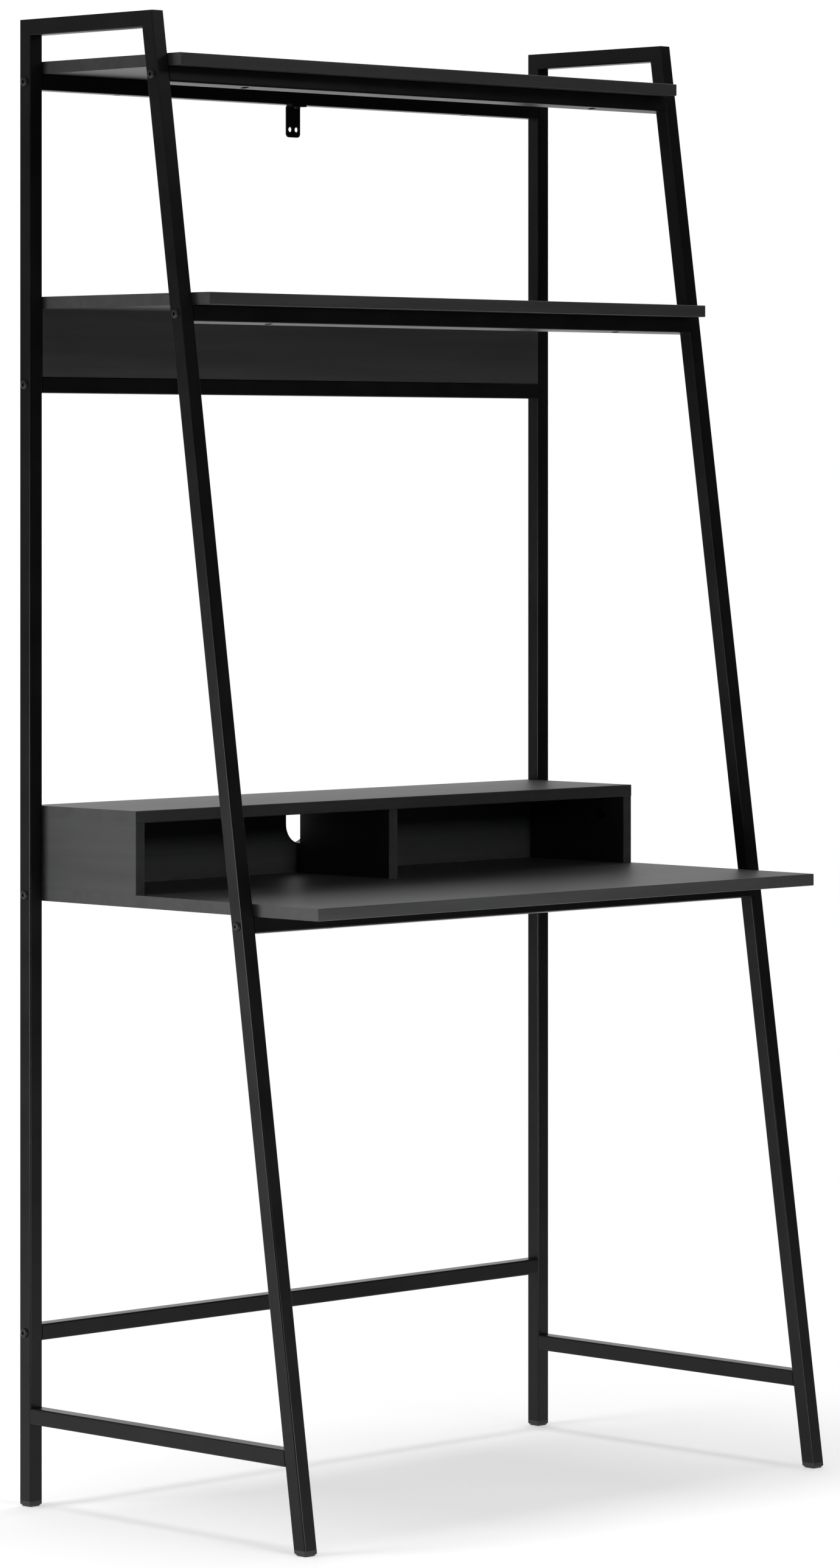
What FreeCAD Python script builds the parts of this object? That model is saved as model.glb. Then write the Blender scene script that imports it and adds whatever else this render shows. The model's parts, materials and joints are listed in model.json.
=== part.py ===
"""Ladder desk: leaning steel side frames, crossbars, three boards and a small open hutch.

Millimetres. The origin is on the floor at the middle of the width and depth, +Z is up and the front is -Y.
"""
import FreeCAD, Part
import math
import os

from FreeCAD import Placement, Rotation, Vector

# Overall sizes of the frame
overall_width = 918.6
overall_depth = 508.6
overall_height = 1828.8
frame_top_depth = 240.2

# Square steel tube
tube_size = 20.0
tube_wall = 1.5
tube_corner_radius = 2.0

# Undersides of the rails and the desk above the floor, and of the shelves below what is above them
lower_rail_height = 102.0
low_crossbar_height = 203.5
desk_height = 744.5
top_shelf_drop = 66.6
mid_shelf_drop = 289.2

# Laminated boards
board_thickness = 15.0
board_edge_radius = 1.0
board_end_gap = 0.5
mid_shelf_overhang = 27.6
top_shelf_overhang = 19.3
mid_back_height = 83.5

# Open hutch on the desk
hutch_depth = 190.0
hutch_height = 102.0
divider_back_gap = 7.5
cable_notch_width = 50.0
cable_notch_depth = 50.0

# Plastic foot plugs
foot_height = 7.0
foot_taper_height = 3.0
foot_taper_inset = 2.5
foot_neck_length = 18.0

# Bolts through the posts, and what they turn into
bolt_diameter = 6.0
bolt_bite = 12.0
bolt_head_diameter = 11.5
bolt_head_height = 3.2
bolt_head_shares = ((1.0, 0.0), (0.9, 0.45), (0.6, 1.0))
bolt_socket_width = 4.0
bolt_socket_depth = 1.8
nut_plug_spare = 3.0
insert_diameter = 9.0

# Pan head screws into the boards, with their heads inside the crossbars
screw_diameter = 4.0
screw_bite = 10.5
screw_head_diameter = 8.0
screw_head_height = 2.4
screw_head_shares = ((1.0, 0.0), (0.75, 1.0))
screw_access_diameter = 10.0

# Countersunk screws up through the desk into the hutch
hutch_screw_diameter = 5.0
hutch_screw_bite = 32.0
hutch_screw_head_diameter = 10.0
hutch_screw_head_height = 4.0

# Cam fittings and dowels
cam_disc_diameter = 15.0
cam_disc_depth = 12.0
cam_set_back = 24.0
cam_bolt_diameter = 6.0
cam_bolt_bite = 10.0
cam_bolt_neck_diameter = 4.0
cam_bolt_head_length = 5.0
dowel_diameter = 8.0
dowel_face_bite = 10.0
dowel_edge_bite = 20.0

# Anti-tip bracket under the top rear crossbar
bracket_width = 24.0
bracket_thickness = 2.0
bracket_drop = 41.0
bracket_leg = 14.0
bracket_set_back = 5.4
bracket_bend_radius = 1.5
bracket_corner_radius = 5.0
bracket_hole_diameter = 6.5
bracket_hole_rise = 10.0
bracket_hole_spacing = 11.0

# Clearance round plugs, pins and screws, and the sides that pegs and bolt heads are drawn with
fit_gap = 0.1
peg_sides = 8
head_sides = 10

# Places of fixings, as shares of half the inner width or of the hutch's depth from the rear
screw_place_share = 0.7
cam_place_share = 0.5
dowel_place_share = 0.85
hutch_back_place_share = 0.5
hutch_fixing_shares = (0.28, 0.78)
hutch_dowel_share = 0.53

# What follows from the sizes above
rear_y = overall_depth / 2
front_y = -rear_y
post_x = (overall_width - tube_size) / 2
inner_x = overall_width / 2 - tube_size
board_x = inner_x - board_end_gap
rear_post_y = rear_y - tube_size / 2
tube_bore = tube_size - 2 * tube_wall
plug_size = tube_bore - 2 * fit_gap
lean = math.atan2(overall_depth - frame_top_depth, overall_height)
lean_up = Vector(0, math.sin(lean), math.cos(lean))
lean_rearward = Vector(0, math.cos(lean), -math.sin(lean))
leaning_rise = (tube_size / 2 - tube_corner_radius) * (math.cos(lean) + math.sin(lean)) + tube_corner_radius
front_post_foot_y = front_y + tube_size / 2 / math.cos(lean)
back_front_y = rear_y - tube_size
back_middle_y = back_front_y + board_thickness / 2
top_shelf_height = overall_height - top_shelf_drop
mid_shelf_height = top_shelf_height - mid_shelf_drop
desk_middle_z = desk_height + board_thickness / 2
desk_top_height = desk_height + board_thickness
hutch_front_y = rear_y - hutch_depth
hutch_side_top = desk_top_height + hutch_height - board_thickness
mid_back_foot = mid_shelf_height - mid_back_height
bolt_length = tube_size + bolt_bite
nut_plug_length = bolt_bite + nut_plug_spare
screw_length = tube_wall + screw_bite
screw_access_length = tube_size - tube_wall
bracket_screw_length = bracket_thickness + tube_size + screw_bite
bracket_rear_y = rear_y - bracket_set_back
bracket_screw_y = bracket_rear_y - (bracket_leg + bracket_thickness + bracket_bend_radius) / 2
dowel_length = dowel_edge_bite + dowel_face_bite

up = Vector(0, 0, 1)
down = Vector(0, 0, -1)
rightward = Vector(1, 0, 0)
rearward = Vector(0, 1, 0)
sides = {"left": -1, "right": 1}


def front_post_y(height):
    """Distance along Y of the front posts' axis at a height."""
    return front_post_foot_y + height * math.tan(lean)


def leaning_axis(board_height):
    """Axis of a crossbar that leans with the front posts and carries a board on its upper front corner."""
    z = board_height - leaning_rise
    return front_post_y(z), z


# Axis of each crossbar, as its Y and Z
top_crossbar_z = top_shelf_height - tube_size / 2
leaning_crossbars = {
    "top_front_crossbar": leaning_axis(top_shelf_height),
    "mid_front_crossbar": leaning_axis(mid_shelf_height),
    "desk_front_crossbar": leaning_axis(desk_height),
}
crossbars = {
    **leaning_crossbars,
    "top_rear_crossbar": (rear_post_y, top_crossbar_z),
    "mid_rear_crossbar": (rear_post_y, mid_back_foot - tube_size / 2),
    "low_rear_crossbar": (rear_post_y, low_crossbar_height + tube_size / 2),
}
board_crossbars = [name for name in crossbars if name != "low_rear_crossbar"]


# Basic shapes

def placed(shape, start, direction):
    """A copy of a shape drawn along +Z, moved to a start point and turned along a direction."""
    moved = shape.copy()
    moved.Placement = Placement(start, Rotation(up, direction)).multiply(shape.Placement)
    return moved


def rounded(shape, radius, *middles):
    """A shape with the edges whose middles are at given points rounded."""
    edges = [edge for edge in shape.Edges
             if any(edge.CenterOfMass.isEqual(middle, edge.Tolerance) for middle in middles)]
    return shape.makeFillet(radius, edges)


def polygon(sides_count, width, height=0):
    """A regular outline about the Z axis, as wide across its flats as the width."""
    reach = width / 2 / math.cos(math.pi / sides_count)
    turns = [2 * math.pi * (step + 0.5) / sides_count for step in range(sides_count + 1)]
    corners = [Vector(reach * math.cos(turn), reach * math.sin(turn), height) for turn in turns]
    return Part.makePolygon(corners)


def rounded_square(size, radius, height=0):
    """A square outline about the Z axis, with round corners."""
    half = size / 2
    flat = half - radius
    middle = flat + radius * math.cos(math.pi / 4)
    edges = []
    for quarter in range(4):
        turn = Rotation(up, 90 * quarter)
        first, last = [turn.multVec(Vector(half, sign * flat, height)) for sign in (-1, 1)]
        bend = turn.multVec(Vector(middle, middle, height))
        edges.append(Part.makeLine(first, last))
        edges.append(Part.Arc(last, bend, turn.multVec(Vector(flat, half, height))).toShape())
    return Part.Wire(edges)


def extruded(length, *outlines):
    """A prism along +Z from its outer outline, less any inner ones."""
    section = Part.makeFace(list(outlines), "Part::FaceMakerBullseye")
    return section.extrude(up * length)


def square_tube(length):
    """A hollow square tube along +Z from the origin."""
    return extruded(length, rounded_square(tube_size, tube_corner_radius), polygon(4, tube_bore))


def peg(diameter, length):
    """A small round peg along +Z from the origin, drawn with few sides."""
    return extruded(length, polygon(peg_sides, diameter))


def half_space(point, normal):
    """A block that fills the side of a plane that its normal points to, past the whole desk."""
    reach = 2 * overall_height
    block = Part.makeBox(reach, reach, reach, Vector(-reach / 2, -reach / 2, 0))
    return placed(block, point, normal)


def board(low, high):
    """A board between two opposite corners."""
    size = high - low
    return Part.makeBox(size.x, size.y, size.z, low)


def on_crossbar(name, shape):
    """A copy of a shape drawn about a level crossbar, leaned back where the crossbar leans."""
    seated = shape.copy()
    if name in leaning_crossbars:
        seated.rotate(Vector(0, *crossbars[name]), rightward, -math.degrees(lean))
    return seated


def less(shape, *cut_groups):
    """A solid less every hole or end cut that reaches it."""
    cuts = [cut for group in cut_groups for cut in group]
    (solid,) = shape.cut(cuts).Solids
    return solid


# Fasteners, each drawn along +Z with the joint's face at the origin

def screw_head(sides_count, diameter, height, profile_shares):
    """A head below the origin, through outlines at shares of its diameter and height."""
    rings = [polygon(sides_count, diameter * across, -height * rise) for across, rise in profile_shares]
    return Part.makeLoft(rings, True, True)


def socket_bolt():
    head = screw_head(head_sides, bolt_head_diameter, bolt_head_height, bolt_head_shares)
    socket = extruded(bolt_socket_depth, polygon(6, bolt_socket_width))
    return head.cut(placed(socket, down * bolt_head_height, up)).fuse(peg(bolt_diameter, bolt_length))


def pan_screw(length):
    head = screw_head(peg_sides, screw_head_diameter, screw_head_height, screw_head_shares)
    return head.fuse(peg(screw_diameter, length))


def countersunk_screw(gap=0):
    """A hutch screw from the desk's underside, or with a gap the hole that it needs."""
    diameter = hutch_screw_diameter + 2 * gap
    head_outlines = [polygon(peg_sides, hutch_screw_head_diameter + 2 * gap),
                     polygon(peg_sides, diameter, hutch_screw_head_height)]
    shank = peg(diameter, board_thickness + hutch_screw_bite + gap)
    return Part.makeLoft(head_outlines, True, True).fuse(shank).removeSplitter()


def cam_bolt():
    """A bolt screwed up into a board, with a neck and a head that hang down into the cam disc."""
    thread = peg(cam_bolt_diameter, cam_bolt_bite)
    neck = placed(peg(cam_bolt_neck_diameter, cam_set_back), Vector(0, 0, -cam_set_back), up)
    head = placed(peg(cam_bolt_diameter, cam_bolt_head_length), Vector(0, 0, -cam_set_back), up)
    return thread.fuse([neck, head])


def cam_bolt_hole():
    hole = peg(cam_bolt_diameter + 2 * fit_gap, cam_set_back + fit_gap + cam_bolt_bite)
    return placed(hole, Vector(0, 0, -cam_set_back - fit_gap), up)


def cam_disc(gap=0):
    """A disc from its outer face down +Z, or with a gap the hole that it needs."""
    return peg(cam_disc_diameter + 2 * gap, cam_disc_depth + gap)


# Where the fasteners go

def bolt_places():
    """Start on a post's outer face, and direction, of every bolt through a post."""
    lines = list(crossbars.values()) + [(rear_post_y, desk_middle_z)]
    return [(Vector(sign * overall_width / 2, y, z), rightward * -sign)
            for y, z in lines for sign in sides.values()]


def insert_places():
    """Start on a board's outer end, and direction, of every threaded insert."""
    return [(Vector(sign * board_x, rear_post_y, desk_middle_z), rightward * -sign)
            for sign in sides.values()]


def at_board_screws(shape):
    """Copies of a shape inside the crossbars, on their upper walls, where screws go up into the boards."""
    copies = []
    for name in board_crossbars:
        y, z = crossbars[name]
        for sign in sides.values():
            start = Vector(sign * inner_x * screw_place_share, y, z + tube_bore / 2)
            copies.append(on_crossbar(name, placed(shape, start, up)))
    return copies


def bracket_screw_place():
    """Start under the bracket, and direction, of the screw that holds it."""
    return Vector(0, bracket_screw_y, top_crossbar_z - tube_size / 2 - bracket_thickness), up


def hutch_fixing_ys():
    return [rear_y - hutch_depth * share for share in hutch_fixing_shares]


def hutch_wall_xs():
    """Middle planes of the hutch's sides and divider."""
    side = board_x - board_thickness / 2
    return (-side, 0, side)


def hutch_screw_places():
    """Start under the desk, and direction, of every screw into the hutch."""
    places = [(Vector(x, y, desk_height), up) for x in hutch_wall_xs() for y in hutch_fixing_ys()]
    for sign in sides.values():
        places.append((Vector(sign * inner_x * hutch_back_place_share, back_middle_y, desk_height), up))
    return places


def cam_places():
    """Point under the board that a cam bolt hangs from, and the way that its disc faces."""
    places = [(Vector(sign * inner_x * cam_place_share, back_middle_y, mid_shelf_height), rearward)
              for sign in sides.values()]
    for sign in sides.values():
        x = sign * (board_x - board_thickness / 2)
        places.extend((Vector(x, y, hutch_side_top), rightward * -sign) for y in hutch_fixing_ys())
    return places


def dowel_points():
    """Points on the faces between the boards that dowels join."""
    half_span = inner_x * hutch_back_place_share
    side_y = rear_y - hutch_depth * hutch_dowel_share
    points = [Vector(x, side_y, hutch_side_top) for x in hutch_wall_xs()]
    for sign in sides.values():
        points.append(Vector(sign * half_span, back_middle_y, hutch_side_top))
        points.append(Vector(sign * inner_x * dowel_place_share, back_middle_y, mid_shelf_height))
    return points


def cam_disc_start(point, facing):
    """Middle of a cam disc's outer face, flush with the board that it is let into."""
    return point + down * cam_set_back + facing * (board_thickness / 2)


# Holes that the fasteners need
bolt_hole = peg(bolt_diameter + 2 * fit_gap, bolt_length + fit_gap)
insert_hole = peg(insert_diameter + 2 * fit_gap, bolt_bite)
screw_access = placed(peg(screw_access_diameter, screw_access_length), down * screw_access_length, up)
screw_hole = peg(screw_diameter + 2 * fit_gap, screw_length + fit_gap).fuse(screw_access)
bracket_screw_hole = peg(screw_diameter + 2 * fit_gap, bracket_screw_length + fit_gap)
dowel_hole = placed(peg(dowel_diameter + 2 * fit_gap, dowel_length + 2 * fit_gap),
                    down * (dowel_edge_bite + fit_gap), up)
bolt_holes = [placed(bolt_hole, *place) for place in bolt_places()]
insert_holes = [placed(insert_hole, *place) for place in insert_places()]
screw_holes = at_board_screws(screw_hole) + [placed(bracket_screw_hole, *bracket_screw_place())]
hutch_screw_holes = [placed(countersunk_screw(fit_gap), *place) for place in hutch_screw_places()]
cam_bolt_holes = [placed(cam_bolt_hole(), point, up) for point, facing in cam_places()]
cam_disc_holes = [placed(cam_disc(fit_gap), cam_disc_start(point, facing), -facing)
                  for point, facing in cam_places()]
dowel_holes = [placed(dowel_hole, point, up) for point in dowel_points()]


# Steel frame

def mitre(outer, inner):
    """Point and upward normal of the plane that passes through both corner lines of a mitre."""
    line = outer - inner
    normal = rightward.cross(line)
    return outer, normal if normal.z > 0 else -normal


bar_underside = overall_height - tube_size
front_post_half = tube_size / 2 / math.cos(lean)
rear_mitre = mitre(Vector(0, rear_y, overall_height), Vector(0, rear_y - tube_size, bar_underside))
front_mitre = mitre(Vector(0, front_post_y(overall_height) - front_post_half, overall_height),
                    Vector(0, front_post_y(bar_underside) + front_post_half, bar_underside))


def rear_post(sign):
    tube = placed(square_tube(overall_height), Vector(sign * post_x, rear_post_y, 0), up)
    return less(tube, [half_space(*rear_mitre), half_space(up * foot_height, down)], bolt_holes)


def front_post(sign):
    length = overall_height / math.cos(lean) + 2 * tube_size
    start = Vector(sign * post_x, front_post_foot_y, 0) - lean_up * tube_size
    tube = placed(square_tube(length), start, lean_up)
    return less(tube, [half_space(*front_mitre), half_space(up * foot_height, down)], bolt_holes)


def top_bar(sign):
    front_end = front_mitre[0].y
    start = Vector(sign * post_x, front_end, overall_height - tube_size / 2)
    tube = placed(square_tube(rear_y - front_end), start, rearward)
    ends = [half_space(corner, -normal) for corner, normal in (rear_mitre, front_mitre)]
    return less(tube, ends)


def lower_rail(sign):
    start = Vector(sign * post_x, front_y, lower_rail_height + tube_size / 2)
    tube = placed(square_tube(overall_depth - tube_size), start, rearward)
    post_back = Vector(0, front_post_foot_y, 0) + lean_rearward * (tube_size / 2)
    return less(tube, [half_space(post_back, -lean_rearward)])


def crossbar(name):
    y, z = crossbars[name]
    tube = placed(square_tube(2 * inner_x), Vector(-inner_x, y, z), rightward)
    return less(on_crossbar(name, tube), screw_holes)


def nut_plugs():
    """A threaded plug in each end of every crossbar."""
    blank = extruded(nut_plug_length, polygon(4, plug_size))
    plugs = []
    for name, (y, z) in crossbars.items():
        for sign in sides.values():
            place = Vector(sign * inner_x, y, z), rightward * -sign
            plugs.append(less(on_crossbar(name, placed(blank, *place)), [placed(bolt_hole, *place)]))
    return plugs


def insert_nut():
    return peg(insert_diameter, bolt_bite).cut(bolt_hole)


# Feet

def foot():
    """An upright foot plug about the Z axis: a base on the floor and a neck up into the tube."""
    sole = tube_size - 2 * foot_taper_inset
    sections = ((sole, 0), (tube_size, foot_taper_height), (tube_size, foot_height))
    base = Part.makeLoft([rounded_square(size, tube_corner_radius, z) for size, z in sections], True, True)
    neck = extruded(foot_neck_length, polygon(4, plug_size))
    return base.fuse(placed(neck, up * foot_height, up))


def rear_foot(sign):
    return placed(foot(), Vector(sign * post_x, rear_post_y, 0), up)


def front_foot(sign):
    """A foot sheared to the lean of its post."""
    shear = FreeCAD.Matrix()
    shear.A22 = 1 / math.cos(lean)
    shear.A23 = math.tan(lean)
    leaning = foot().transformGeometry(shear).Solids[0]
    return placed(leaning, Vector(sign * post_x, front_post_foot_y, 0), up)


# Boards

def shelf(front, underside, *hole_groups):
    """A level board between the posts, from the rear to a front edge, with its edging rounded."""
    top = underside + board_thickness
    level = board(Vector(-board_x, front, underside), Vector(board_x, rear_y, top))
    level = rounded(level, board_edge_radius, Vector(0, front, underside), Vector(0, front, top))
    return less(level, *hole_groups)


def shelf_front(crossbar_name, overhang):
    """Front edge of a shelf that stands in front of the crossbar under it."""
    return crossbars[crossbar_name][0] - tube_size / 2 - overhang


def top_shelf():
    front = shelf_front("top_front_crossbar", top_shelf_overhang)
    return shelf(front, top_shelf_height, screw_holes)


def mid_shelf():
    front = shelf_front("mid_front_crossbar", mid_shelf_overhang)
    return shelf(front, mid_shelf_height, screw_holes, cam_bolt_holes, dowel_holes)


def desk_top():
    return shelf(front_y, desk_height, screw_holes, bolt_holes, insert_holes, hutch_screw_holes)


def mid_back_panel():
    panel = board(Vector(-board_x, back_front_y, mid_back_foot),
                  Vector(board_x, back_front_y + board_thickness, mid_shelf_height))
    return less(panel, screw_holes, cam_bolt_holes, cam_disc_holes, dowel_holes)


def hutch_top():
    return shelf(hutch_front_y, hutch_side_top, cam_bolt_holes, dowel_holes)


def hutch_wall(low_x, wall_rear_y, *hole_groups):
    """An upright board of the hutch, from its front to a rear face, with its front edges rounded."""
    high_x = low_x + board_thickness
    wall = board(Vector(low_x, hutch_front_y, desk_top_height), Vector(high_x, wall_rear_y, hutch_side_top))
    middle_z = (desk_top_height + hutch_side_top) / 2
    wall = rounded(wall, board_edge_radius, *[Vector(x, hutch_front_y, middle_z) for x in (low_x, high_x)])
    return less(wall, *hole_groups)


def hutch_side(low_x):
    return hutch_wall(low_x, rear_y, hutch_screw_holes, cam_bolt_holes, cam_disc_holes, dowel_holes)


def hutch_divider():
    rear = back_front_y - divider_back_gap
    return hutch_wall(-board_thickness / 2, rear, hutch_screw_holes, dowel_holes)


def cable_notch():
    """A round-ended notch from the hutch back's upper edge down."""
    radius = cable_notch_width / 2
    arc_z = hutch_side_top - cable_notch_depth + radius
    start = Vector(0, back_front_y, arc_z)
    round_end = Part.makeCylinder(radius, board_thickness, start, rearward)
    slot = board(Vector(-radius, back_front_y, arc_z),
                 Vector(radius, back_front_y + board_thickness, hutch_side_top))
    return round_end.fuse(slot)


def hutch_back_panel():
    half = board_x - board_thickness
    panel = board(Vector(-half, back_front_y, desk_top_height),
                  Vector(half, back_front_y + board_thickness, hutch_side_top))
    return less(panel, [cable_notch()], hutch_screw_holes, dowel_holes)


# Anti-tip bracket

def wall_bracket():
    """A bent strip: one leg under the crossbar, and a tab with two holes that hangs down near the wall."""
    ceiling = top_crossbar_z - tube_size / 2
    tip = ceiling - bracket_drop
    half = bracket_width / 2
    inside_y = bracket_rear_y - bracket_thickness
    inside_z = ceiling - bracket_thickness
    leg = board(Vector(-half, bracket_rear_y - bracket_leg, inside_z), Vector(half, bracket_rear_y, ceiling))
    tab = board(Vector(-half, inside_y, tip), Vector(half, bracket_rear_y, ceiling))
    tab_y = (inside_y + bracket_rear_y) / 2
    tab = rounded(tab, bracket_corner_radius, Vector(-half, tab_y, tip), Vector(half, tab_y, tip))
    bent = leg.fuse(tab).removeSplitter()
    bent = rounded(bent, bracket_bend_radius, Vector(0, inside_y, inside_z))
    bent = rounded(bent, bracket_bend_radius + bracket_thickness, Vector(0, bracket_rear_y, ceiling))
    hole_starts = [Vector(sign * bracket_hole_spacing / 2, inside_y, tip + bracket_hole_rise)
                   for sign in sides.values()]
    wall_holes = [Part.makeCylinder(bracket_hole_diameter / 2, bracket_thickness, start, rearward)
                  for start in hole_starts]
    return less(bent, wall_holes, screw_holes)


# Every node and its solids
paired = {
    "rear_post": rear_post,
    "front_post": front_post,
    "top_bar": top_bar,
    "lower_rail": lower_rail,
}
nodes = {side + "_" + name: [make(sign)]
         for name, make in paired.items() for side, sign in sides.items()}
nodes.update({name: [crossbar(name)] for name in crossbars})
nodes.update({
    "top_shelf": [top_shelf()],
    "mid_shelf": [mid_shelf()],
    "mid_back_panel": [mid_back_panel()],
    "desk_top": [desk_top()],
    "hutch_top": [hutch_top()],
    "hutch_left_side": [hutch_side(-board_x)],
    "hutch_right_side": [hutch_side(board_x - board_thickness)],
    "hutch_divider": [hutch_divider()],
    "hutch_back_panel": [hutch_back_panel()],
    "rear_feet": [rear_foot(sign) for sign in sides.values()],
    "front_feet": [front_foot(sign) for sign in sides.values()],
    "wall_bracket": [wall_bracket()],
    "frame_bolts": [placed(socket_bolt(), *place) for place in bolt_places()],
    "crossbar_nut_plugs": nut_plugs(),
    "insert_nuts": [placed(insert_nut(), *place) for place in insert_places()],
    "board_screws": at_board_screws(pan_screw(screw_length)),
    "bracket_screw": [placed(pan_screw(bracket_screw_length), *bracket_screw_place())],
    "hutch_screws": [placed(countersunk_screw(), *place) for place in hutch_screw_places()],
    "cam_bolts": [placed(cam_bolt(), point, up) for point, facing in cam_places()],
    "cam_discs": [placed(cam_disc(), cam_disc_start(point, facing), -facing).cut(cam_bolt_holes)
                  for point, facing in cam_places()],
    "dowels": [placed(peg(dowel_diameter, dowel_length), point + down * dowel_edge_bite, up)
               for point in dowel_points()],
})

os.makedirs("parts", exist_ok=True)
for name, solids in nodes.items():
    shape = solids[0] if len(solids) == 1 else Part.makeCompound(solids)
    shape.exportStep("parts/" + name + ".step")
print(len(nodes), "nodes,", sum(len(solids) for solids in nodes.values()), "solids")
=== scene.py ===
"""Looks of the ladder desk: finishes, bolt heads, camera, floor and studio light.

Metres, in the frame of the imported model: the origin is on the floor, +Z is up and the front is -Y.
"""
import json
import math

import bpy
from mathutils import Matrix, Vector


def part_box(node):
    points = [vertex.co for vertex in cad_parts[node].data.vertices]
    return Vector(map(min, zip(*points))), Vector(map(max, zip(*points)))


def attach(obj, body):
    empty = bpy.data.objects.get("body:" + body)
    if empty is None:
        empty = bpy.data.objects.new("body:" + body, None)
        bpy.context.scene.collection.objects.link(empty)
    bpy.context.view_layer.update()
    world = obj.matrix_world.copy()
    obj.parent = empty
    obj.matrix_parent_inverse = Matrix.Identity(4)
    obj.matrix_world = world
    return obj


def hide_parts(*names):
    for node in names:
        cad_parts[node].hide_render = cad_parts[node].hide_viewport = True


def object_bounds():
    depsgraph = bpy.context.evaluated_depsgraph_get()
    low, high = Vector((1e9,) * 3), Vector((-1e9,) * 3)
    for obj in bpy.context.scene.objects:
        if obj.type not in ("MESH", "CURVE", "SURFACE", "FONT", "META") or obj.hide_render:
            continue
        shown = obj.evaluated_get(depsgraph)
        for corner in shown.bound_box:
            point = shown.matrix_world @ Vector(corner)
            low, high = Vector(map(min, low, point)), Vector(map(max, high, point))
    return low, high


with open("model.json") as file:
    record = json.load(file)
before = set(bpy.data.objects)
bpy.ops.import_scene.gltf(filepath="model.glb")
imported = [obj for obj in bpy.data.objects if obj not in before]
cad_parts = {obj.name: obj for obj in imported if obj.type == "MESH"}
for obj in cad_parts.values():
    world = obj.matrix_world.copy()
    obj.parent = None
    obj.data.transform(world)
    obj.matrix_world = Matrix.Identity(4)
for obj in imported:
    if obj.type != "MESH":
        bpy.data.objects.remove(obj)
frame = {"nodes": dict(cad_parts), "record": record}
cad_low, cad_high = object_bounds()

# Camera, level, as the photograph was taken
photo_height = 2576
camera_place = Vector((-5.4083, -5.4094, 1.2773))
camera_yaw = math.radians(44.905)
focal_pixels = 10017.6
horizon_pixel = 768.7
sensor_size = 36.0

# Floor: how pale it is, the glow that makes it show white, and where its shadow fades out
floor_size = 60.0
floor_albedo = 0.8
floor_seen_albedo = 0.95
floor_seen_glow = 0.42
floor_fade_centre = Vector((-0.21, -0.21, 0.0))
floor_fade_start = 0.8
floor_fade_end = 1.3

# Lamps
open_spread = math.radians(180)
narrow_spread = math.radians(30)
lamps = {
    "overhead": {"place": Vector((0.0, 0.15, 3.6)), "aim": Vector((0.0, 0.15, 0.0)),
                 "size": (2.6, 1.2), "power": 60.0, "spread": open_spread},
    "side": {"place": Vector((-2.9, 1.0, 0.6)), "aim": Vector((-0.3, 0.1, 0.6)),
             "size": (1.2, 0.8), "power": 40.0, "spread": open_spread},
    "fill": {"place": Vector((0.0, -4.8, 2.1)), "aim": Vector((-0.25, 0.0, 0.7)),
             "size": (1.6, 0.8), "power": 2.3, "spread": narrow_spread},
    "bounce": {"place": Vector((-0.3, -1.4, 0.2)), "aim": Vector((0.0, -0.25, 0.75)),
               "size": (0.9, 0.2), "power": 9.0, "spread": open_spread},
}

# Studio: white, the way to its backdrop, and the levels that light the desk, from the front to the back
white = (1.0, 1.0, 1.0, 1.0)
backdrop_direction = Vector((0.45, 0.89, 0.0))
studio_levels = ((0.20, 0.03), (0.42, 0.05), (0.66, 0.07), (0.95, 1.0))

# Ring of cards round the desk and a lid above them, which only its gloss shows
card_centre = Vector((-0.8, 0.8, 0.0))
card_distance = 2.4
card_height = 2.2
card_lid_height = 2.65
card_count = 48
card_band_level = 0.36
card_band_foot = 0.25
card_band_top = 0.50
card_band_side = Vector((0.71, -0.71, 0.0))

# Noise in all finishes: its detail, and the levels between which two colours blend
noise_detail = 3.0
blend_start = 0.3
blend_end = 0.7

# Powder coat: colours, roughness, gloss, and the sizes of its clouds and its orange peel
coat_colours = ((0.0042, 0.0042, 0.0046), (0.0068, 0.0068, 0.0073))
coat_roughness = (0.26, 0.36)
coat_gloss = 0.21
coat_cloud_size = 0.055
coat_peel_size = 0.0011
coat_peel_depth = 0.00004

# Laminate: colours, roughness, gloss, and the sizes of its figure and its pores
board_colours = ((0.0425, 0.0434, 0.0429), (0.0557, 0.0567, 0.0562))
board_roughness = (0.40, 0.48)
board_gloss = 0.36
board_figure_size = 0.014
board_pore_size = 0.0012
board_grain_stretch = 22.0
board_pore_depth = 0.00003

# Moulded plastic, black plated steel, bright zinc and beech: colours, roughness, gloss and grain
plain_gloss = 0.5
plastic_colours = ((0.008, 0.008, 0.008), (0.013, 0.013, 0.013))
plastic_roughness = (0.45, 0.6)
plastic_grain_size = 0.0006
plastic_grain_depth = 0.00005
bolt_colours = ((0.006, 0.006, 0.007), (0.012, 0.012, 0.013))
bolt_roughness = (0.40, 0.55)
bolt_gloss = 0.35
bolt_grain_size = 0.0008
bolt_grain_depth = 0.00001
zinc_colours = ((0.50, 0.51, 0.53), (0.66, 0.67, 0.68))
zinc_roughness = (0.26, 0.42)
zinc_grain_size = 0.0009
zinc_grain_depth = 0.00002
beech_colours = ((0.46, 0.30, 0.16), (0.66, 0.48, 0.30))
beech_roughness = (0.5, 0.68)
beech_grain_size = 0.0011
beech_grain_stretch = 9.0
beech_grain_depth = 0.00006

# Domed bolts
bolt_head_radius = 0.00575
bolt_crown_radius = 0.0034
bolt_rim_height = 0.0008
bolt_socket_sides = 6
bolt_socket_width = 0.004
bolt_socket_depth = 0.0018
bolt_shank_radius = 0.003
bolt_shank_length = 0.032
bolt_sharp_angle = math.radians(40)
bolt_ring_points = 24
bolt_dome_rings = 6


# Mesh helpers

def turns_of(count):
    """Even turns about an axis."""
    return [2 * math.pi * step / count for step in range(count)]


def polar(reach, turn, height=0.0):
    """A point at a distance and a turn about the Z axis."""
    return Vector((reach * math.cos(turn), reach * math.sin(turn), height))


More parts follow.
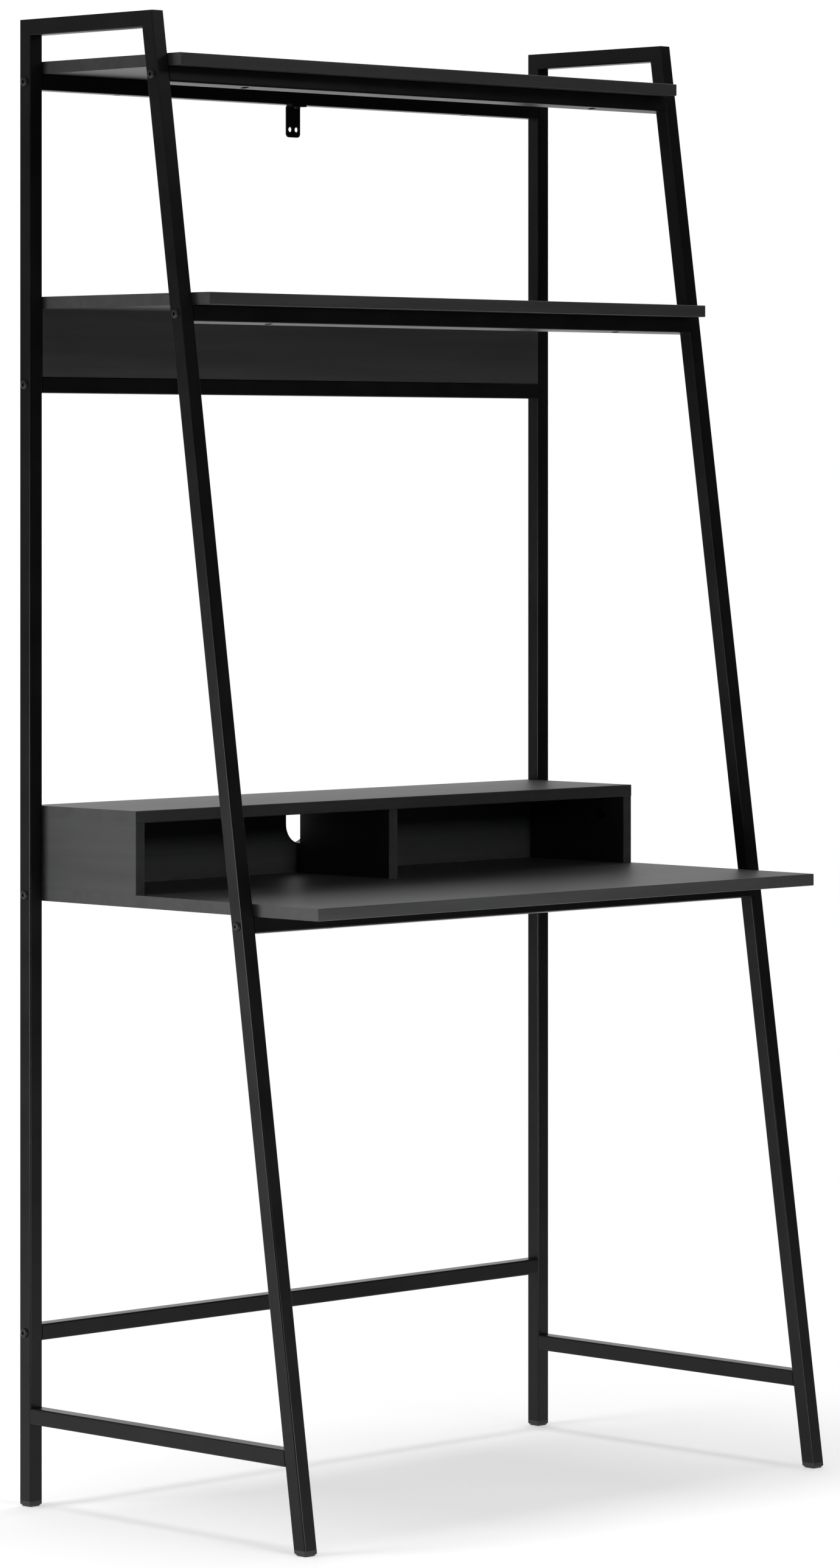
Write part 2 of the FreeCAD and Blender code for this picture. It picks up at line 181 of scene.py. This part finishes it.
def band_faces(first, count):
    """Faces between two rings of points, given the index of the first point."""
    sides = [(first + step, first + (step + 1) % count) for step in range(count)]
    return [(start, end, end + count, start + count) for start, end in sides]


def link_mesh(name, points, faces, material):
    """A new mesh object in the scene."""
    mesh = bpy.data.meshes.new(name)
    mesh.from_pydata(points, [], faces)
    mesh.materials.append(material)
    piece = bpy.data.objects.new(name, mesh)
    bpy.context.scene.collection.objects.link(piece)
    return piece


# Shader helpers

def add(tree, kind, settings=None, **inputs):
    """A shader node with its settings, and with each input set to a value or linked to a socket.

    An input goes by its name, with _ for a space, or by its number, as in _0.
    """
    node = tree.nodes.new(kind)
    for name, value in (settings or {}).items():
        setattr(node, name, value)
    for name, value in inputs.items():
        key = int(name[1:]) if name.startswith("_") else name.replace("_", " ")
        socket = node.inputs[key]
        if isinstance(value, bpy.types.NodeSocket):
            tree.links.new(value, socket)
        else:
            socket.default_value = value
    return node


def grey(level):
    """A neutral colour."""
    return (level, level, level, 1.0)


def new_tree(owner):
    """The emptied shader tree of a material or a world."""
    owner.use_nodes = True
    owner.node_tree.nodes.clear()
    return owner.node_tree


def fill_ramp(ramp, stops):
    """Sets the stops of a colour ramp."""
    while len(ramp.elements) < len(stops):
        ramp.elements.new(1.0)
    for element, (place, colour) in zip(ramp.elements, stops):
        element.position = place
        element.color = colour


def noise(tree, place, size, stretch=(1, 1, 1)):
    """Noise with patches of about a size, stretched along the axes."""
    scale = [1 / (size * part) for part in stretch]
    spread = add(tree, "ShaderNodeVectorMath", {"operation": "MULTIPLY"}, _0=place, _1=scale)
    pattern = add(tree, "ShaderNodeTexNoise", Vector=spread.outputs[0], Scale=1.0, Detail=noise_detail)
    return pattern.outputs["Fac"]


def blended(tree, share, dark, light):
    """A colour between two."""
    ramp = add(tree, "ShaderNodeValToRGB", Fac=share)
    fill_ramp(ramp.color_ramp, [(blend_start, (*dark, 1)), (blend_end, (*light, 1))])
    return ramp.outputs["Color"]


def ranged(tree, share, low, high):
    """A value between two."""
    return add(tree, "ShaderNodeMapRange", Value=share, To_Min=low, To_Max=high).outputs["Result"]


# Camera, light and floor

def make_camera():
    """A level camera, shifted to the photograph's horizon."""
    data = bpy.data.cameras.new("camera")
    data.sensor_width = sensor_size
    data.lens = focal_pixels / photo_height * sensor_size
    data.shift_y = (horizon_pixel - photo_height / 2) / photo_height
    data.clip_end = floor_size
    camera = bpy.data.objects.new("camera", data)
    camera.location = camera_place
    camera.rotation_euler = (math.pi / 2, 0, -camera_yaw)
    bpy.context.scene.collection.objects.link(camera)
    bpy.context.scene.camera = camera


def shown(tree):
    """1 on rays that show a thing, straight or in gloss or glass, and 0 on those that only light."""
    ray = add(tree, "ShaderNodeLightPath")
    gloss = add(tree, "ShaderNodeMath", {"operation": "MAXIMUM"},
                _0=ray.outputs["Is Camera Ray"], _1=ray.outputs["Is Glossy Ray"])
    return add(tree, "ShaderNodeMath", {"operation": "MAXIMUM"},
               _0=gloss.outputs[0], _1=ray.outputs["Is Transmission Ray"]).outputs[0]


def studio_colour(tree, direction):
    """White behind the desk, and darker towards the front."""
    facing = add(tree, "ShaderNodeVectorMath", {"operation": "DOT_PRODUCT"}, _0=direction,
                 _1=backdrop_direction.normalized())
    share = add(tree, "ShaderNodeMapRange", From_Min=-1.0, From_Max=1.0, Value=facing.outputs["Value"])
    ramp = add(tree, "ShaderNodeValToRGB", Fac=share.outputs["Result"])
    ramp.color_ramp.interpolation = "EASE"
    fill_ramp(ramp.color_ramp, [(place, grey(level)) for place, level in studio_levels])
    return ramp.outputs["Color"]


def make_world():
    """A studio that shows white all round, and lights the desk most from behind."""
    world = bpy.data.worlds.new("studio")
    bpy.context.scene.world = world
    tree = new_tree(world)
    direction = add(tree, "ShaderNodeTexCoord").outputs["Generated"]
    lit = add(tree, "ShaderNodeBackground", Color=studio_colour(tree, direction), Strength=1.0)
    seen = add(tree, "ShaderNodeBackground", Color=white, Strength=1.0)
    mixed = add(tree, "ShaderNodeMixShader", Fac=shown(tree),
                _1=lit.outputs["Background"], _2=seen.outputs["Background"])
    add(tree, "ShaderNodeOutputWorld", Surface=mixed.outputs["Shader"])


def card_material():
    """The studio's colours, with a grey band along the foot of the cards at the right front."""
    material = bpy.data.materials.new("studio_cards")
    tree = new_tree(material)
    place = add(tree, "ShaderNodeNewGeometry").outputs["Position"]
    direction = add(tree, "ShaderNodeVectorMath", {"operation": "NORMALIZE"}, _0=place).outputs[0]
    height = add(tree, "ShaderNodeSeparateXYZ", Vector=place).outputs["Z"]
    low = add(tree, "ShaderNodeMapRange", {"interpolation_type": "SMOOTHSTEP"}, Value=height,
              From_Min=card_band_foot, From_Max=card_band_top, To_Min=1.0, To_Max=0.0)
    aside = add(tree, "ShaderNodeVectorMath", {"operation": "DOT_PRODUCT"},
                _0=direction, _1=card_band_side)
    band = add(tree, "ShaderNodeMath", {"operation": "MULTIPLY", "use_clamp": True},
               _0=low.outputs["Result"], _1=aside.outputs["Value"])
    # Inputs 6 and 7 and output 2 of this node are its colours
    colour = add(tree, "ShaderNodeMix", {"data_type": "RGBA"}, _0=band.outputs[0],
                 _6=studio_colour(tree, direction), _7=grey(card_band_level))
    face = add(tree, "ShaderNodeEmission", Color=colour.outputs[2], Strength=1.0)
    add(tree, "ShaderNodeOutputMaterial", Surface=face.outputs["Emission"])
    return material


def make_cards():
    """A ring of cards and a lid above it, dark in front and white behind, for the desk's gloss to show."""
    foot = [card_centre + polar(card_distance, turn) for turn in turns_of(card_count)]
    top = [point + Vector((0, 0, card_height)) for point in foot]
    lid = [point + Vector((0, 0, card_lid_height)) for point in foot]
    faces = band_faces(0, card_count)
    faces.append(tuple(range(len(foot + top), len(foot + top + lid))))
    cards = link_mesh("studio_cards", foot + top + lid, faces, card_material())
    cards.visible_camera = False
    cards.visible_diffuse = False
    cards.visible_shadow = False


def make_lamp(name, place, aim, size, power, spread):
    """A soft rectangular lamp."""
    data = bpy.data.lights.new(name, "AREA")
    data.shape = "RECTANGLE"
    data.size, data.size_y = size
    data.energy = power
    data.spread = spread
    lamp = bpy.data.objects.new(name, data)
    lamp.location = place
    lamp.rotation_euler = (aim - place).to_track_quat("-Z", "Y").to_euler()
    bpy.context.scene.collection.objects.link(lamp)


def floor_material():
    """Pale floor: it shows white with a soft shadow, bounces plain light, and is clear from below."""
    material = bpy.data.materials.new("pale_floor")
    tree = new_tree(material)
    plain = add(tree, "ShaderNodeBsdfDiffuse", Color=grey(floor_albedo))
    shaded = add(tree, "ShaderNodeBsdfDiffuse", Color=grey(floor_seen_albedo))
    glow = add(tree, "ShaderNodeEmission", Color=white, Strength=floor_seen_glow)
    near = add(tree, "ShaderNodeAddShader", _0=shaded.outputs["BSDF"], _1=glow.outputs["Emission"])
    far = add(tree, "ShaderNodeEmission", Color=white, Strength=1.0)
    geometry = add(tree, "ShaderNodeNewGeometry")
    distance = add(tree, "ShaderNodeVectorMath", {"operation": "DISTANCE"},
                   _0=geometry.outputs["Position"], _1=floor_fade_centre)
    fade = add(tree, "ShaderNodeMapRange", {"interpolation_type": "SMOOTHSTEP"},
               Value=distance.outputs["Value"], From_Min=floor_fade_start, From_Max=floor_fade_end)
    seen = add(tree, "ShaderNodeMixShader", Fac=fade.outputs["Result"],
               _1=near.outputs["Shader"], _2=far.outputs["Emission"])
    mixed = add(tree, "ShaderNodeMixShader", Fac=shown(tree),
                _1=plain.outputs["BSDF"], _2=seen.outputs["Shader"])
    clear = add(tree, "ShaderNodeBsdfTransparent")
    sided = add(tree, "ShaderNodeMixShader", Fac=geometry.outputs["Backfacing"],
                _1=mixed.outputs["Shader"], _2=clear.outputs["BSDF"])
    add(tree, "ShaderNodeOutputMaterial", Surface=sided.outputs["Shader"])
    return material


def make_floor():
    """A level floor under the desk."""
    half = floor_size / 2
    corners = [(-half, -half, 0), (half, -half, 0), (half, half, 0), (-half, half, 0)]
    floor = link_mesh("floor", corners, [(0, 1, 2, 3)], floor_material())


# Finishes

def new_finish(name):
    """A new material, its shader tree and the socket with places on the part."""
    material = bpy.data.materials.new(name)
    tree = new_tree(material)
    return material, tree, add(tree, "ShaderNodeTexCoord").outputs["Object"]


def shade(tree, colour, roughness, relief, depth, metallic=0.0, gloss=plain_gloss):
    """Ends a finish: a surface with a colour, a roughness, a relief of some depth and a level of gloss."""
    bump = add(tree, "ShaderNodeBump", Height=relief, Strength=1.0, Distance=depth)
    surface = add(tree, "ShaderNodeBsdfPrincipled", Base_Color=colour, Roughness=roughness,
                  Normal=bump.outputs["Normal"], Metallic=metallic, Specular_IOR_Level=gloss)
    add(tree, "ShaderNodeOutputMaterial", Surface=surface.outputs["BSDF"])


def powder_coat():
    """Satin black powder coat, cloudy and with a fine orange peel."""
    material, tree, place = new_finish("powder_coat")
    cloud = noise(tree, place, coat_cloud_size)
    peel = noise(tree, place, coat_peel_size)
    colour = blended(tree, cloud, *coat_colours)
    roughness = ranged(tree, cloud, *coat_roughness)
    shade(tree, colour, roughness, peel, coat_peel_depth, gloss=coat_gloss)
    return material


def laminate(node):
    """Matte black laminate on a board, with faint grain along its length."""
    material, tree, place = new_finish(node + "_laminate")
    low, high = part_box(node)
    size = high - low
    stretch = [board_grain_stretch if length == max(size) else 1.0 for length in size]
    figure = noise(tree, place, board_figure_size, stretch)
    pores = noise(tree, place, board_pore_size, stretch)
    colour = blended(tree, figure, *board_colours)
    roughness = ranged(tree, figure, *board_roughness)
    shade(tree, colour, roughness, pores, board_pore_depth, gloss=board_gloss)
    return material


def plain_finish(name, colours, roughness, grain_size, grain_depth, stretch=(1, 1, 1), **surface):
    """A finish whose colour, roughness and relief all follow one fine grain."""
    material, tree, place = new_finish(name)
    grain = noise(tree, place, grain_size, stretch)
    colour = blended(tree, grain, *colours)
    shade(tree, colour, ranged(tree, grain, *roughness), grain, grain_depth, **surface)
    return material


# Bolts

def socket_reach(turn):
    """Distance of the socket's wall from the bolt's axis at a turn."""
    sector = 2 * math.pi / bolt_socket_sides
    return bolt_socket_width / 2 / math.cos(turn % sector - sector / 2)


def bolt_rings(head_height):
    """Rings of points from the shank's end, over the head, to the bottom of the socket, along +Z."""
    profile = [(bolt_shank_radius, -bolt_shank_length), (bolt_shank_radius, 0.0), (bolt_head_radius, 0.0)]
    for step in range(bolt_dome_rings + 1):
        bend = math.pi / 2 * step / bolt_dome_rings
        reach = bolt_crown_radius + (bolt_head_radius - bolt_crown_radius) * math.cos(bend)
        profile.append((reach, bolt_rim_height + (head_height - bolt_rim_height) * math.sin(bend)))
    turns = turns_of(bolt_ring_points)
    rings = [[polar(reach, turn, height) for turn in turns] for reach, height in profile]
    for height in (head_height, head_height - bolt_socket_depth):
        rings.append([polar(socket_reach(turn), turn, height) for turn in turns])
    return rings


def bolt_faces(first, ring_count):
    """Faces of one bolt, given the index of its first point: the bands between its rings, and its ends."""
    faces = []
    for ring in range(ring_count - 1):
        faces.extend(band_faces(first + ring * bolt_ring_points, bolt_ring_points))
    last = first + (ring_count - 1) * bolt_ring_points
    faces.append(tuple(reversed(range(first, first + bolt_ring_points))))
    faces.append(tuple(range(last, last + bolt_ring_points)))
    return faces


def bolt_lines():
    """Y and Z of each line of bolts: along every crossbar, and into the rear of the desk's ends."""
    boxes = [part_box(name) for name in frame["nodes"] if name.endswith("_crossbar")]
    lines = [((low.y + high.y) / 2, (low.z + high.z) / 2) for low, high in boxes]
    post_low, post_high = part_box("left_rear_post")
    desk_low, desk_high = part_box("desk_top")
    lines.append(((post_low.y + post_high.y) / 2, (desk_low.z + desk_high.z) / 2))
    return lines


def make_bolts(material):
    """Every frame bolt, with a smooth domed head and a hexagonal socket."""
    outer_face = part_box("right_rear_post")[1].x
    rings = bolt_rings(cad_high.x - outer_face)
    points = []
    faces = []
    for sign in (-1, 1):
        turned = Vector((0, 0, 1)).rotation_difference(Vector((sign, 0, 0)))
        for y, z in bolt_lines():
            centre = Vector((sign * outer_face, y, z))
            faces.extend(bolt_faces(len(points), len(rings)))
            points.extend(centre + turned @ point for ring in rings for point in ring)
    bolts = link_mesh("domed_bolts", points, faces, material)
    bolts.data.shade_smooth()
    bolts.data.set_sharp_from_angle(angle=bolt_sharp_angle)
    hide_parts("frame_bolts")
    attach(bolts, "root")


make_camera()
make_world()
for name, settings in lamps.items():
    make_lamp(name, **settings)
make_floor()
make_cards()
coat = powder_coat()
finishes = {
    "powder_coat": coat,
    "bracket_steel": coat,
    "foot_plastic": plain_finish("foot_plastic", plastic_colours, plastic_roughness,
                                 plastic_grain_size, plastic_grain_depth),
    "black_bolt": plain_finish("black_bolt", bolt_colours, bolt_roughness,
                               bolt_grain_size, bolt_grain_depth, gloss=bolt_gloss),
    "zinc_steel": plain_finish("zinc_steel", zinc_colours, zinc_roughness,
                               zinc_grain_size, zinc_grain_depth, metallic=1.0),
    "dowel_wood": plain_finish("dowel_wood", beech_colours, beech_roughness,
                               beech_grain_size, beech_grain_depth, stretch=(1, 1, beech_grain_stretch)),
}
for part in frame["record"]["subparts"]:
    node, slot = part["node"], part["material_slot"]
    piece = frame["nodes"][node]
    piece.data.materials.clear()
    piece.data.materials.append(laminate(node) if slot == "black_board" else finishes[slot])
make_bolts(finishes["black_bolt"])

bpy.context.scene.view_settings.view_transform = "Standard"
